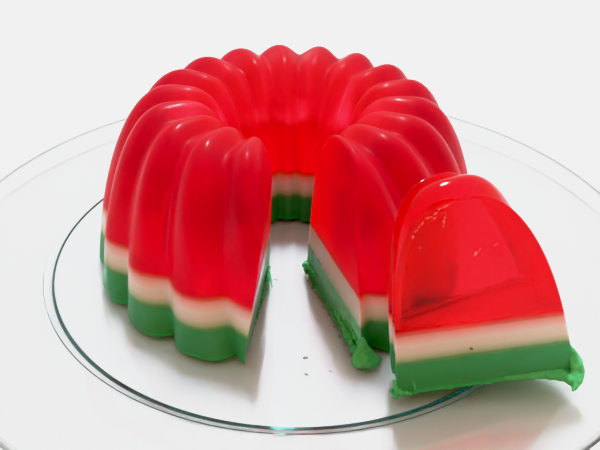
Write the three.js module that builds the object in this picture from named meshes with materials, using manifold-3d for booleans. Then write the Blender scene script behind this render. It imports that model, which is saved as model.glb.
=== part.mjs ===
// Moulded jelly: a fluted ring in three set layers (green, white, red) with one slice cut out of its
// front. The ring and the loose slice stand on a round clear glass plate.
// Millimetres, +Z up. The origin is the centre of the plate's underside, +Y is away from the cut.
import * as THREE from 'three';
import { mergeVertices } from 'three/addons/utils/BufferGeometryUtils.js';
import Module from 'manifold-3d';

const wasm = await Module();
wasm.setup();

// ---- driving dimensions ----------------------------------------------------------------------

// glass plate
const PLATE_R = 170;            // outer edge of the rim
const PLATE_WELL_R = 115;       // flat middle, out to the sloping wall
const PLATE_WALL_R = 138;       // where the wall turns into the wide, nearly level rim
const PLATE_THICK = 5;
const WALL_SLOPE = 0.27;
const RIM_SLOPE = 0.03;
const BEND_R = 5;               // radial length of each of the two eased bends
const PLATE_SIDES = 84;

// jelly ring, as it comes out of the mould
const RING_AXIS = new THREE.Vector2(-3.6, 5.4);   // the ring stands a little off the plate's centre
const BASE_R = 92.3;            // outer foot, measured over the lobes
const CROWN_R = 53;             // circle along the top of the lobes
const HOLE_R = 22.5;            // hole at the foot
const HEIGHT = 82.5;
const FLARE = 7.9;              // how far the outer wall leans out towards its foot
const HOLE_FLARE = 2.5;         // how far the hole closes towards its foot
const OUTER_ROUND = { across: 0.82, up: 1.05 };   // exponents of the outer half of the arch
const INNER_ROUND = { across: 0.6, up: 0.56 };    // the hole's side is steeper, with a tight shoulder

// flutes
const LOBES = 18;
const FLUTE_FOOT = { depth: 7.4, soft: 0.09, gable: 0.77 };   // soft 0 is a knife-sharp valley
const FLUTE_CROWN = { depth: 4.8, soft: 0.27, gable: 0.3 };   // gable 0 is a round lobe, 1 a roof
const FLUTE_HOLE = { depth: 2.0, soft: 0.27, gable: 0.3 };
const FOOT_FADE = 4.4;          // power by which the foot's flutes turn into the crown's
const VALLEY_AT_CROWN = 104.2;  // degrees, one valley's place on the crown
const SWIRL_OUTER = 11.3;       // degrees that a flute turns between crown and outer foot
const SWIRL_INNER = -3;         // and between crown and hole

// layers, as heights above the ring's foot
const GREEN_TOP = 14.6;
const WHITE_TOP = 26.4;
const GAP = 0.3;                // kept between pieces that touch

// the two knife cuts in the ring: direction from its axis, sideways offset and lean per mm of height
const LEFT_CUT = { angle: -97.2, offset: -6.2, lean: 0.07 };
const RIGHT_CUT = { angle: -71.0, offset: 1.4, lean: 0.034 };

// the slice, a little thinner than that gap, stood on the plate's right front
const SLICE_NEAR_CUT = { angle: -95.2, offset: -6.0, lean: 0.013 };
const SLICE_FAR_CUT = { angle: -70.8, offset: -0.9, lean: 0 };
const SLICE_AXIS = new THREE.Vector3(18.3, -97.3, 3.9);   // where the ring's axis meets the slice's foot
const SLICE_TURN = 99;          // degrees about the vertical
const SLICE_TIP = { forward: -7.4, sideways: -7.5 };      // degrees: the rim props up its outer end

// how finely the surfaces are divided
const STEPS_PER_LOBE = 8;
const STEPS_OUTER = 12;
const STEPS_INNER = 8;

const rad = THREE.MathUtils.degToRad;

// ---- closed meshes and manifold solids -------------------------------------------------------

function toSolid(geometry) {
  const bare = geometry.clone();
  bare.deleteAttribute('normal');
  bare.deleteAttribute('uv');
  const merged = mergeVertices(bare, 1e-5);
  return new wasm.Manifold(new wasm.Mesh({
    numProp: 3,
    vertProperties: Float32Array.from(merged.attributes.position.array),
    triVerts: Uint32Array.from(merged.index.array),
  }));
}

function toGeometry(solid) {
  const mesh = solid.getMesh();
  const geometry = new THREE.BufferGeometry();
  geometry.setAttribute('position', new THREE.BufferAttribute(Float32Array.from(mesh.vertProperties), 3));
  geometry.setIndex(Array.from(mesh.triVerts));
  geometry.computeVertexNormals();
  return geometry;
}

// ---- the jelly's surface ---------------------------------------------------------------------

// the arch's smooth section: t runs from 0 at the outer foot over 1 at the crown to 2 at the hole's foot
function archPoint(t) {
  const outer = t <= 1;
  const a = (outer ? t : 2 - t) * Math.PI / 2;
  const round = outer ? OUTER_ROUND : INNER_ROUND;
  const up = Math.pow(Math.sin(a), round.up);
  const across = Math.pow(Math.max(Math.cos(a), 0), round.across);
  const r = outer
    ? CROWN_R + (BASE_R - FLARE - CROWN_R) * across + FLARE * (1 - up)
    : CROWN_R - (CROWN_R - HOLE_R - HOLE_FLARE) * across - HOLE_FLARE * (1 - up);
  return new THREE.Vector2(r, HEIGHT * up);
}

// values of t at even steps of length along one half of the arch
function evenSteps(from, to, steps) {
  const fine = 400;
  const ts = Array.from({ length: fine + 1 }, (_, i) => from + (to - from) * i / fine);
  const lengths = [0];
  for (let i = 1; i <= fine; i += 1) {
    lengths.push(lengths[i - 1] + archPoint(ts[i]).distanceTo(archPoint(ts[i - 1])));
  }
  return Array.from({ length: steps + 1 }, (_, k) => {
    const wanted = lengths[fine] * k / steps;
    const i = Math.min(Math.max(lengths.findIndex((l) => l >= wanted), 1), fine);
    const part = (wanted - lengths[i - 1]) / (lengths[i] - lengths[i - 1]);
    return THREE.MathUtils.lerp(ts[i - 1], ts[i], part);
  });
}

// 0 in the bottom of a valley, 1 on top of a lobe
function lobeHeight(angle, { soft, gable }) {
  const wave = Math.abs(Math.sin(angle * LOBES / 2));
  const height = (Math.hypot(wave, soft) - soft) / (Math.hypot(1, soft) - soft);
  return Math.asin(gable * height) / Math.asin(gable);
}

function mix(from, to, part) {
  return Object.fromEntries(Object.keys(from).map((k) => [k, THREE.MathUtils.lerp(from[k], to[k], part)]));
}

function fluteAt(t) {
  return t <= 1
    ? mix(FLUTE_CROWN, FLUTE_FOOT, Math.pow(1 - t, FOOT_FADE))
    : mix(FLUTE_CROWN, FLUTE_HOLE, t - 1);
}

function swirl(t) {
  return rad(t <= 1 ? SWIRL_OUTER * (1 - t) : SWIRL_INNER * (t - 1));
}

// one closed fluted ring, foot at z = 0 and axis on Z
function fullRing() {
  const ts = [...evenSteps(0, 1, STEPS_OUTER), ...evenSteps(1, 2, STEPS_INNER).slice(1)];
  const around = LOBES * STEPS_PER_LOBE;
  const nudge = 1e-3;
  const rows = ts.map((t) => {
    const point = archPoint(t);
    const ahead = archPoint(Math.min(t + nudge, 2));
    const behind = archPoint(Math.max(t - nudge, 0));
    const along = ahead.sub(behind).normalize();
    const normal = new THREE.Vector2(along.y, -along.x);
    return { point, normal, flute: fluteAt(t), turn: swirl(t) };
  });
  const positions = [];
  for (const { point, normal, flute, turn } of rows) {
    for (let i = 0; i < around; i += 1) {
      const inFlute = 2 * Math.PI * i / around;
      const inset = flute.depth * (1 - lobeHeight(inFlute, flute));
      const r = point.x - normal.x * inset;
      const z = Math.max(point.y - normal.y * inset, 0);
      const angle = rad(VALLEY_AT_CROWN) + turn + inFlute;
      positions.push(r * Math.cos(angle), r * Math.sin(angle), z);
    }
  }
  const index = [];
  for (let k = 0; k < rows.length; k += 1) {
    const next = (k + 1) % rows.length;     // the last strip is the flat foot
    for (let i = 0; i < around; i += 1) {
      const j = (i + 1) % around;
      const [a, b, c, d] = [k * around + i, k * around + j, next * around + j, next * around + i];
      index.push(a, b, c, a, c, d);
    }
  }
  const geometry = new THREE.BufferGeometry();
  geometry.setAttribute('position', new THREE.BufferAttribute(Float32Array.from(positions), 3));
  geometry.setIndex(index);
  return toSolid(geometry);
}

// ---- cutting tools ---------------------------------------------------------------------------

const REACH = 140;              // larger than the ring in every direction

// everything between two heights
function slab(low, high) {
  const box = new THREE.BoxGeometry(2 * REACH, 2 * REACH, high - low);
  box.translate(0, 0, (low + high) / 2);
  return toSolid(box);
}

// the space between two knife cuts
function wedge(left, right) {
  const onCut = ({ angle, offset, lean }, reach, z) => {
    const [c, k] = [Math.cos(rad(angle)), Math.sin(rad(angle))];
    const aside = offset + lean * z;
    return [reach * c - aside * k, reach * k + aside * c, z];
  };
  const positions = [-1, HEIGHT + 10].flatMap((z) => [
    onCut(left, 0, z), onCut(left, REACH, z), onCut(right, REACH, z), onCut(right, 0, z),
  ]).flat();
  const quads = [[3, 2, 1, 0], [4, 5, 6, 7], [0, 1, 5, 4], [1, 2, 6, 5], [2, 3, 7, 6], [3, 0, 4, 7]];
  const geometry = new THREE.BufferGeometry();
  geometry.setAttribute('position', new THREE.BufferAttribute(Float32Array.from(positions), 3));
  geometry.setIndex(quads.flatMap(([a, b, c, d]) => [a, b, c, a, c, d]));
  return toSolid(geometry);
}

// ---- materials -------------------------------------------------------------------------------

const finish = (color, roughness, extra = {}) => new THREE.MeshStandardMaterial({
  color, roughness, metalness: 0, ...extra,
});
const RED = finish(0xd0121f, 0.12);
const WHITE = finish(0xe3c9b8, 0.3);
const GREEN = finish(0x2f7a40, 0.25);
const GLASS = finish(0xe6efec, 0.03, { transparent: true, opacity: 0.35 });

function piece(name, solid, material) {
  const mesh = new THREE.Mesh(toGeometry(solid), material);
  mesh.name = name;
  return mesh;
}

// ---- glass plate -----------------------------------------------------------------------------

// how far a bend at the start of x has carried a surface whose slope it raises from 0 to 1
function eased(x) {
  if (x <= 0) return 0;
  return x < BEND_R ? x * x / (2 * BEND_R) : x - BEND_R / 2;
}

function glassPlate() {
  const edge = PLATE_THICK / 2;
  const bent = (r) => WALL_SLOPE * eased(r - PLATE_WELL_R)      // height of the underside at radius r
    - (WALL_SLOPE - RIM_SLOPE) * eased(r - PLATE_WALL_R);
  const radii = [
    ...[PLATE_WELL_R, PLATE_WALL_R].flatMap((r) => [r, r + BEND_R / 2, r + BEND_R]),
    PLATE_R - edge,
  ];
  const under = radii.map((r) => new THREE.Vector2(r, bent(r)));
  const over = [...radii].reverse().map((r) => new THREE.Vector2(r, bent(r) + PLATE_THICK));
  const round = [-45, 0, 45].map((degrees) => new THREE.Vector2(
    PLATE_R - edge + edge * Math.cos(rad(degrees)),
    bent(PLATE_R - edge) + edge + edge * Math.sin(rad(degrees)),
  ));
  const profile = [new THREE.Vector2(0, 0), ...under, ...round, ...over, new THREE.Vector2(0, PLATE_THICK)];
  const geometry = new THREE.LatheGeometry(profile, PLATE_SIDES);
  geometry.rotateX(Math.PI / 2);
  const mesh = new THREE.Mesh(toGeometry(toSolid(geometry)), GLASS);
  mesh.name = 'plate';
  return mesh;
}

// ---- the whole dessert -----------------------------------------------------------------------

const ring = fullRing();
const layers = [
  { name: 'green', solid: ring.intersect(slab(-1, GREEN_TOP - GAP)), material: GREEN },
  { name: 'white', solid: ring.intersect(slab(GREEN_TOP, WHITE_TOP - GAP)), material: WHITE },
  { name: 'red', solid: ring.intersect(slab(WHITE_TOP, HEIGHT + 10)), material: RED },
];

// the cut ring, standing in the plate's well
const ringGroup = new THREE.Group();
ringGroup.position.set(RING_AXIS.x, RING_AXIS.y, PLATE_THICK + GAP);
const gap = wedge(LEFT_CUT, RIGHT_CUT);
for (const { name, solid, material } of layers) {
  ringGroup.add(piece(`ring_${name}`, solid.subtract(gap), material));
}

// the slice: its hole end lies in the well, and the rim props up its outer end
const sliceGroup = new THREE.Group();
sliceGroup.position.copy(SLICE_AXIS);
sliceGroup.rotation.set(rad(SLICE_TIP.forward), rad(SLICE_TIP.sideways), rad(SLICE_TURN), 'YXZ');
const sliceSpace = wedge(SLICE_NEAR_CUT, SLICE_FAR_CUT);
for (const { name, solid, material } of layers) {
  sliceGroup.add(piece(`slice_${name}`, solid.intersect(sliceSpace), material));
}

const dessert = new THREE.Group();
dessert.add(glassPlate(), ringGroup, sliceGroup);

export default dessert;
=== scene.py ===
"""A moulded jelly: the fluted three-layer ring, its loose slice and the round glass plate under them."""

from __future__ import annotations

import logging
import math
from collections.abc import Callable
from dataclasses import dataclass, field
from enum import Enum
from typing import Any

import bmesh
import bpy
import numpy as np
from mathutils import Matrix, Vector, noise

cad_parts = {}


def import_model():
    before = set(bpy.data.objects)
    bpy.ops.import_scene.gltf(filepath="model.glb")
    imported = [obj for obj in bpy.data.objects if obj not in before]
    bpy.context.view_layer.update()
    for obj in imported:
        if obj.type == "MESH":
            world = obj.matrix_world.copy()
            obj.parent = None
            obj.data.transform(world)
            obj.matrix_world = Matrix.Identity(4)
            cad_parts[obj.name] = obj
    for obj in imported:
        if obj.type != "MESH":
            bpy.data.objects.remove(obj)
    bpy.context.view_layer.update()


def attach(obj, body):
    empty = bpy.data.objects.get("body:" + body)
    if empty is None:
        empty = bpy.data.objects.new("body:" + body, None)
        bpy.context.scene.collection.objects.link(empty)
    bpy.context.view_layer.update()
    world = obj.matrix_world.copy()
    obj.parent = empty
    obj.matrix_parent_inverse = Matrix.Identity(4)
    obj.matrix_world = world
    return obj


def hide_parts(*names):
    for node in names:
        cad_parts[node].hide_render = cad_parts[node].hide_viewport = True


LOG = logging.getLogger("jelly")
MM = 0.001
BODY = "root"
GREEN_TOP = 14.6          # heights of the layer lines and of the crown above the jelly's foot, in mm
WHITE_TOP = 26.4
CROWN = 82.5
JELLY_IOR = 1.35
DENT_STRENGTH = 0.3       # how strongly the skin's small dents show, and how deep they are, in mm
DENT_DEPTH = 0.4
HALVINGS = 40             # rounds of halving when a place is searched for
PAINTED_SHEEN_CUT = (1.05, 1.9)      # values of the attribute "cut" between which a pale painted sheen sets in, over the film the knife left

Colour = tuple[float, float, float]
Stop = tuple[float, float, float, float]


# ---- node graphs -------------------------------------------------------------------------------


class Value:
    """A number socket that takes part in Python arithmetic by adding Math nodes."""

    def __init__(self, graph: Graph, socket: bpy.types.NodeSocket) -> None:
        """Wraps a socket.

        Args:
            graph: the graph that the socket belongs to.
            socket: an output socket that carries a number.
        """
        self.graph = graph
        self.socket = socket

    def _math(self, operation: str, *operands: Any) -> Value:
        """Adds one Math node on the operands in their order."""
        node = self.graph.node("ShaderNodeMath", {"operation": operation}, dict(enumerate(operands)))
        return Value(self.graph, node.outputs[0])

    def __add__(self, other: Any) -> Value:
        """The sum of both."""
        return self._math("ADD", self, other)

    __radd__ = __add__

    def __sub__(self, other: Any) -> Value:
        """This value less the other."""
        return self._math("SUBTRACT", self, other)

    def __rsub__(self, other: Any) -> Value:
        """The other less this value."""
        return self._math("SUBTRACT", other, self)

    def __mul__(self, other: Any) -> Value:
        """The product of both."""
        return self._math("MULTIPLY", self, other)

    __rmul__ = __mul__

    def __truediv__(self, other: Any) -> Value:
        """This value over the other."""
        return self._math("DIVIDE", self, other)

    def __rtruediv__(self, other: Any) -> Value:
        """The other over this value."""
        return self._math("DIVIDE", other, self)

    def sine(self) -> Value:
        """The sine of this angle."""
        return self._math("SINE", self)

    def cosine(self) -> Value:
        """The cosine of this angle."""
        return self._math("COSINE", self)

    def floor(self) -> Value:
        """The next whole number below."""
        return self._math("FLOOR", self)

    def least(self, other: Any) -> Value:
        """The smaller of both."""
        return self._math("MINIMUM", self, other)

    def most(self, other: Any) -> Value:
        """The larger of both."""
        return self._math("MAXIMUM", self, other)

    def above(self, limit: Any) -> Value:
        """1 where this value is above the limit, else 0."""
        return self._math("GREATER_THAN", self, limit)

    def ramp(self, low: float, high: float) -> Value:
        """A smooth step from 0 at low to 1 at high; low may be the larger one."""
        node = self.graph.node(
            "ShaderNodeMapRange", {"interpolation_type": "SMOOTHSTEP"}, {0: self, 1: low, 2: high})
        return Value(self.graph, node.outputs[0])


class Graph:
    """A node tree that is written through one method."""

    def __init__(self, tree: bpy.types.NodeTree) -> None:
        """Wraps a tree."""
        self.tree = tree

    def node(self, kind: str, settings: dict[str, Any] | None = None,
             sockets: dict[Any, Any] | None = None) -> bpy.types.Node:
        """Adds one node.

        Args:
            kind: the node's type name.
            settings: properties that are set first; "stops" gives a colour ramp its stops.
            sockets: values or links, by the input socket's name or number.

        Returns:
            The new node.
        """
        made = self.tree.nodes.new(kind)
        for name, value in (settings or {}).items():
            if name == "stops":
                self._set_stops(made.color_ramp, value)
            else:
                setattr(made, name, value)
        for name, value in (sockets or {}).items():
            self.feed(made.inputs[name], value)
        return made

    def feed(self, socket: bpy.types.NodeSocket, value: Any) -> None:
        """Links a value or a socket to an input, or sets the input's own number."""
        if isinstance(value, Value):
            self.tree.links.new(value.socket, socket)
        elif isinstance(value, bpy.types.NodeSocket):
            self.tree.links.new(value, socket)
        else:
            socket.default_value = value

    def value(self, kind: str, settings: dict[str, Any] | None = None,
              sockets: dict[Any, Any] | None = None, output: Any = 0) -> Value:
        """Adds one node and wraps one of its outputs as a number."""
        return Value(self, self.node(kind, settings, sockets).outputs[output])

    def blend(self, part: Any, first: Any, second: Any) -> bpy.types.NodeSocket:
        """A colour between two colours."""
        mix = self.node("ShaderNodeMix", {"data_type": "RGBA"}, {
            0: part, 6: first if isinstance(first, bpy.types.NodeSocket) else rgba(first),
            7: second if isinstance(second, bpy.types.NodeSocket) else rgba(second)})
        return mix.outputs[2]

    @staticmethod
    def _set_stops(ramp: bpy.types.ColorRamp, stops: tuple[tuple[float, Colour], ...]) -> None:
        """Gives a colour ramp exactly these stops."""
        while len(ramp.elements) > 1:
            ramp.elements.remove(ramp.elements[-1])
        ramp.elements[0].position, ramp.elements[0].color = stops[0][0], rgba(stops[0][1])
        for position, colour in stops[1:]:
            ramp.elements.new(position).color = rgba(colour)


def rgba(colour: Colour) -> tuple[float, float, float, float]:
    """A linear colour with full alpha."""
    return (colour[0], colour[1], colour[2], 1.0)


class ShaderGraph(Graph):
    """A material's node tree with what the finishes share."""

    def __init__(self, name: str) -> None:
        """Makes an empty material of that name."""
        self.material = bpy.data.materials.new(name)
        self.material.use_nodes = True
        super().__init__(self.material.node_tree)
        self.tree.nodes.clear()

    def place(self) -> bpy.types.NodeSocket:
        """Object coordinates, in metres."""
        return self.node("ShaderNodeTexCoord").outputs["Object"]

    def attribute(self, name: str) -> Value:
        """A number that the mesh carries at its points."""
        return self.value("ShaderNodeAttribute", {"attribute_name": name}, output="Fac")

    def grain(self, size_mm: float, detail: float = 2.0, roughness: float = 0.5) -> Value:
        """Soft noise from 0 to 1.

        Args:
            size_mm: the size of one patch.
            detail: how many finer octaves are added.
            roughness: how strong the finer octaves are.

        Returns:
            The noise as a number.
        """
        return self.value("ShaderNodeTexNoise", None, {
            "Vector": self.place(), "Scale": 1 / (size_mm * MM), "Detail": detail,
            "Roughness": roughness})

    def colour_ramp(self, part: Value, stops: tuple[tuple[float, Colour], ...]) -> bpy.types.NodeSocket:
        """A colour that follows a number through the stops."""
        return self.node("ShaderNodeValToRGB", {"stops": stops}, {0: part}).outputs[0]

    def dented(self, height: Value) -> bpy.types.NodeSocket:
        """A normal that follows small dents."""
        return self.node("ShaderNodeBump", None, {
            "Height": height, "Strength": DENT_STRENGTH, "Distance": DENT_DEPTH * MM}).outputs[0]

    def skin(self, sockets: dict[str, Any], subsurface: bool = True) -> bpy.types.Node:
        """A Principled shader, with light that wanders inside it unless that is turned off."""
        settings = {"subsurface_method": "RANDOM_WALK"} if subsurface else None
        return self.node("ShaderNodeBsdfPrincipled", settings, sockets)

    def absorb(self, colour: Colour, density: float) -> bpy.types.Node:
        """A volume that only takes light away."""
        return self.node("ShaderNodeVolumeAbsorption", None, {"Color": rgba(colour), "Density": density})

    def surface(self, shader: bpy.types.Node, volume: bpy.types.Node | None = None) -> bpy.types.Material:
        """Ends the tree in its output and returns the material."""
        sockets = {"Surface": shader.outputs[0]}
        if volume is not None:
            sockets["Volume"] = volume.outputs[0]
        self.node("ShaderNodeOutputMaterial", None, sockets)
        return self.material


def placed(name: str, data: bpy.types.ID) -> bpy.types.Object:
    """Puts a mesh, lamp or camera into the scene at the origin."""
    piece = bpy.data.objects.new(name, data)
    bpy.context.scene.collection.objects.link(piece)
    return piece


# ---- finishes ----------------------------------------------------------------------------------


@dataclass(frozen=True)
class RedFinish:
    """Red set jelly with a wet skin; how clear it looks goes with how thick the piece is."""

    name: str
    colour: Colour = (0.98, 0.004, 0.014)
    pale: Colour = (0.98, 0.012, 0.026)
    lit: Colour = (0.98, 0.008, 0.02)        # painted light: a brighter base colour low down, standing in for light from the white below
    lit_from: float = 28.0                   # heights between which that painted light fades out, in mm
    lit_to: float = 64.0
    milky: Colour = (0.84, 0.2, 0.18)        # right above the white
    band: float = 3.2                        # how far up from the white it stays milky, in mm
    drift: float = 0.8                       # how far that band wanders up and down, in mm
    painted_glow: Colour = (0.17, 0.002, 0.006)      # painted glow: emission standing in for light scattered through the outer part
    painted_core_glow: Colour = (0.0, 0.0, 0.0)      # and painted glow around the hole
    clearness: float = 0.88
    softness: float = 0.06
    coat: float = 0.0
    coat_softness: float = 0.08
    gloss: float = 0.18
    ior: float = 1.345
    deep: Colour = (0.6, 0.02, 0.05)
    density: float = 2.0

    def build(self) -> bpy.types.Material:
        """Makes the material: clear jelly that turns milky where it meets the white."""
        graph = ShaderGraph(self.name)
        cut = graph.attribute("cut")
        level = graph.attribute("level")
        roughness = self.softness + 0.06 * cut + 0.05 * graph.grain(9, 2)
        dents = graph.grain(5, 2) * 0.5 + graph.grain(1.6, 4, 0.65) * (0.08 + 0.5 * cut)
        shared = {"IOR": self.ior, "Specular IOR Level": self.gloss, "Subsurface Weight": 1.0,
                  "Normal": graph.dented(dents)}
        colour = graph.blend(graph.grain(22, 3), self.colour, self.pale)
        # painted light: the base colour turns to the lit red low down
        colour = graph.blend(level.ramp(self.lit_to, self.lit_from), colour, self.lit)
        clear = graph.skin({
            **shared, "Base Color": colour, "Roughness": roughness, "Coat Weight": self.coat,
            "Coat Roughness": self.coat_softness, "Coat IOR": JELLY_IOR,
            "Transmission Weight": self.clearness, "Subsurface Radius": (1.0, 0.25, 0.25),
            # the emission is painted glow, outer or around the hole after the attribute core
            "Subsurface Scale": 12 * MM, "Emission Strength": 1.0,
            "Emission Color": graph.blend(graph.attribute("core"), self.painted_glow, self.painted_core_glow)})
        above = level + (graph.grain(7, 2) - 0.5) * self.drift - WHITE_TOP
        milky = graph.skin({
            **shared, "Base Color": graph.blend(above.ramp(-0.4, self.band), self.milky, self.lit),
            "Roughness": 0.2, "Subsurface Radius": (1.0, 0.4, 0.35), "Subsurface Scale": 5 * MM})
        mixed = graph.node("ShaderNodeMixShader", None, {
            0: above.ramp(0.4, self.band), 1: milky.outputs[0], 2: clear.outputs[0]})
        return graph.surface(mixed, graph.absorb(self.deep, self.density))


@dataclass(frozen=True)
class WhiteFinish:
    """Milky jelly, pinkish where it meets the red and greyish green where it meets the green."""

    # pale painted sheen on the ring's starting cut: cool light that its wet face reflects, over the knife's
    # film
    film: Colour = (0.74, 0.92, 0.95)
    drift: float = 0.8
    stops: tuple[tuple[float, Colour], ...] = (
        (0.0, (0.2, 0.46, 0.23)), (0.1, (0.44, 0.54, 0.38)), (0.3, (0.68, 0.64, 0.61)),
        (0.6, (0.77, 0.66, 0.68)), (0.8, (0.8, 0.49, 0.51)), (1.0, (0.82, 0.28, 0.27)))

    def build(self) -> bpy.types.Material:
        """Makes the material."""
        graph = ShaderGraph("white_jelly")
        cut = graph.attribute("cut")
        drift = (graph.grain(7, 2) - 0.5) * self.drift
        part = (graph.attribute("level") + drift - GREEN_TOP) / (WHITE_TOP - GREEN_TOP)
        # painted sheen on the starting cut
        film = cut.ramp(*PAINTED_SHEEN_CUT) * (0.35 + 0.6 * graph.grain(3, 3))
        dents = graph.grain(4, 2) * 0.5 + graph.grain(1.2, 3, 0.6) * (0.1 + 0.4 * cut)
        return graph.surface(graph.skin({
            "Base Color": graph.blend(film, graph.colour_ramp(part, self.stops), self.film),
            "Roughness": 0.16 + 0.12 * cut + 0.08 * graph.grain(6), "IOR": JELLY_IOR,
            "Subsurface Weight": 0.7, "Subsurface Radius": (1.0, 0.6, 0.45),
            "Subsurface Scale": 4 * MM, "Normal": graph.dented(dents)}))


@dataclass(frozen=True)
class GreenFinish:
    """Opaque green jelly, brighter where it was torn."""

    body: Colour = (0.05, 0.34, 0.14)
    pale: Colour = (0.08, 0.42, 0.2)
    torn: Colour = (0.05, 0.6, 0.2)
    olive: Colour = (0.3, 0.36, 0.16)        # where it meets the white
    # pale painted sheen on the ring's starting cut: cool light that its wet face reflects, over the knife's
    # film
    film: Colour = (0.32, 0.92, 0.66)

    def build(self) -> bpy.types.Material:
        """Makes the material."""
        graph = ShaderGraph("green_jelly")
        level = graph.attribute("level")
        cut = graph.attribute("cut")
        cloud = graph.grain(9, 3)
        ragged = level + (graph.grain(3, 3, 0.6) - 0.5) * 3
        meeting = (level + (cloud - 0.5) * 1.5).ramp(GREEN_TOP - 1.6, GREEN_TOP)
        # painted sheen on the starting cut, fainter near the foot
        film = cut.ramp(*PAINTED_SHEEN_CUT) * (0.3 + 0.7 * level.ramp(0.0, 10.0)) * (0.3 + 0.8 * graph.grain(4, 3))
        colour = graph.blend(cloud, self.body, self.pale)
        colour = graph.blend(ragged.ramp(2.2, 0.6) * 0.8, colour, self.torn)
        colour = graph.blend(meeting * 0.6, colour, self.olive)
        dents = graph.grain(4, 2) * 0.5 + graph.grain(1.1, 3, 0.6) * (0.15 + 0.5 * cut)
        return graph.surface(graph.skin({
            "Base Color": graph.blend(film, colour, self.film),
            "Roughness": 0.18 + 0.14 * cut + 0.1 * graph.grain(5), "IOR": JELLY_IOR,
            "Subsurface Weight": 0.5, "Subsurface Radius": (0.35, 1.0, 0.45),
            "Subsurface Scale": 2.5 * MM, "Normal": graph.dented(dents)}))


@dataclass(frozen=True)
class GlassFinish:
    """Clear soda-lime glass, green through its edge."""

    tint: Colour = (0.995, 1.0, 1.0)
    dull: Colour = (0.3, 0.31, 0.3)          # where its edge is ground
    deep: Colour = (0.0, 0.42, 0.38)
    density: float = 13.0
    ior: float = 1.5

    def build(self) -> bpy.types.Material:
        """Makes the material."""
        graph = ShaderGraph("plate_glass")
        ground = graph.attribute("ground")
        roughness = 0.01 + graph.grain(30, 3) * 0.02 + ground * 0.45
        glass = graph.skin({
            "Base Color": graph.blend(ground, self.tint, self.dull), "Roughness": roughness,
            "IOR": self.ior, "Transmission Weight": 1.0}, subsurface=False)
        return graph.surface(glass, graph.absorb(self.deep, self.density))


@dataclass(frozen=True)
class BitFinish:
    """Small torn bits of one colour."""

    name: str
    colour: Colour
    pale: Colour
    roughness: float = 0.28
    inside: float = 0.5       # how much light wanders inside

    def build(self) -> bpy.types.Material:
        """Makes the material."""
        graph = ShaderGraph(self.name)
        return graph.surface(graph.skin({
            "Base Color": graph.blend(graph.grain(1.8, 3, 0.6), self.colour, self.pale),
            "Roughness": self.roughness, "IOR": JELLY_IOR, "Subsurface Weight": self.inside,
            "Subsurface Radius": (0.6, 1.0, 0.6), "Subsurface Scale": 1.2 * MM}))


@dataclass(frozen=True)
class TableFinish:
    """Plain pale table top."""

    colour: Colour = (0.86, 0.86, 0.87)

    def build(self) -> bpy.types.Material:
        """Makes the material."""
        graph = ShaderGraph("table_top")
        return graph.surface(graph.skin({
            "Base Color": rgba(self.colour), "Roughness": 0.6, "Specular IOR Level": 0.2},
            subsurface=False))


class Red(Enum):
    """The red jelly as it looks in a thick piece and in a thin one."""

    # painted glow: THICK glows around the hole, THIN in its outer part
    THICK = RedFinish(
        "thick_red_jelly", colour=(0.52, 0.008, 0.018), pale=(0.58, 0.012, 0.026),
        lit=(0.84, 0.012, 0.026), painted_glow=(0.02, 0.003, 0.012), painted_core_glow=(0.22, 0.008, 0.01),
        clearness=0.6, softness=0.36, coat=0.16, coat_softness=0.09, gloss=0.06, ior=1.15)
    THIN = RedFinish("thin_red_jelly", ior=1.28)


class Bit(Enum):
    """What the small loose and torn bits are made of."""

    TORN = BitFinish("torn_green", (0.04, 0.38, 0.13), (0.14, 0.68, 0.3))
    SQUEEZED = BitFinish("squeezed_green", (0.06, 0.42, 0.16), (0.15, 0.66, 0.31), 0.14, 0.9)
    CRUMB = BitFinish("dark_crumb", (0.2, 0.26, 0.2), (0.4, 0.45, 0.4))
    SCAR = BitFinish("milky_scar", (0.85, 0.08, 0.09), (0.95, 0.4, 0.38), 0.15)
    SPECK = BitFinish("brown_speck", (0.2, 0.12, 0.05), (0.3, 0.2, 0.1))


# ---- the mould's shape -------------------------------------------------------------------------


@dataclass(frozen=True)
class Flute:
    """How deep the valleys are, how soft their bottoms and how roof-like the lobes."""

    depth: float
    soft: float
    gable: float


@dataclass(frozen=True)
class Cut:
    """A knife cut: a direction from the ring's axis, a sideways offset and its lean with height."""

    angle: float
    offset: float
    lean: float
    fan: float = 0.0          # extra lean for each mm of radius past the hole
    fan_from: float = 25.0    # radius at which that starts, and how far it goes on
    fan_run: float = 60.0
    lean_stops: float = 55.0  # height at which the fanned lean ends
    crown_back: float = 0.0   # how far the cut falls back at the crown
    edge_foot: float = 0.5    # rounding of its edges near the foot
    edge_crown: float = 0.5   # and at the crown
    edge_low: float = 42.0    # heights between which it grows
    edge_high: float = 76.0

    def aside(self, r: np.ndarray, z: np.ndarray) -> np.ndarray:
        """Sideways place of the cut at a radius and a height, in mm."""
        if not self.fan and not self.crown_back:
            return self.offset + self.lean * z
        lean = self.lean + self.fan * np.clip(r - self.fan_from, 0, self.fan_run)
        late = np.clip((z - self.lean_stops) / (CROWN - self.lean_stops), 0, 1)
        stops = self.lean_stops if self.fan else CROWN
        return self.offset + lean * np.minimum(z, stops) - self.crown_back * late ** 2

    def edge(self, z: np.ndarray) -> np.ndarray:
        """Radius of the rounded edge at a height, in mm."""
        part = np.clip((z - self.edge_low) / (self.edge_high - self.edge_low), 0, 1)
        return self.edge_foot + (self.edge_crown - self.edge_foot) * part * part * (3 - 2 * part)


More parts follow.
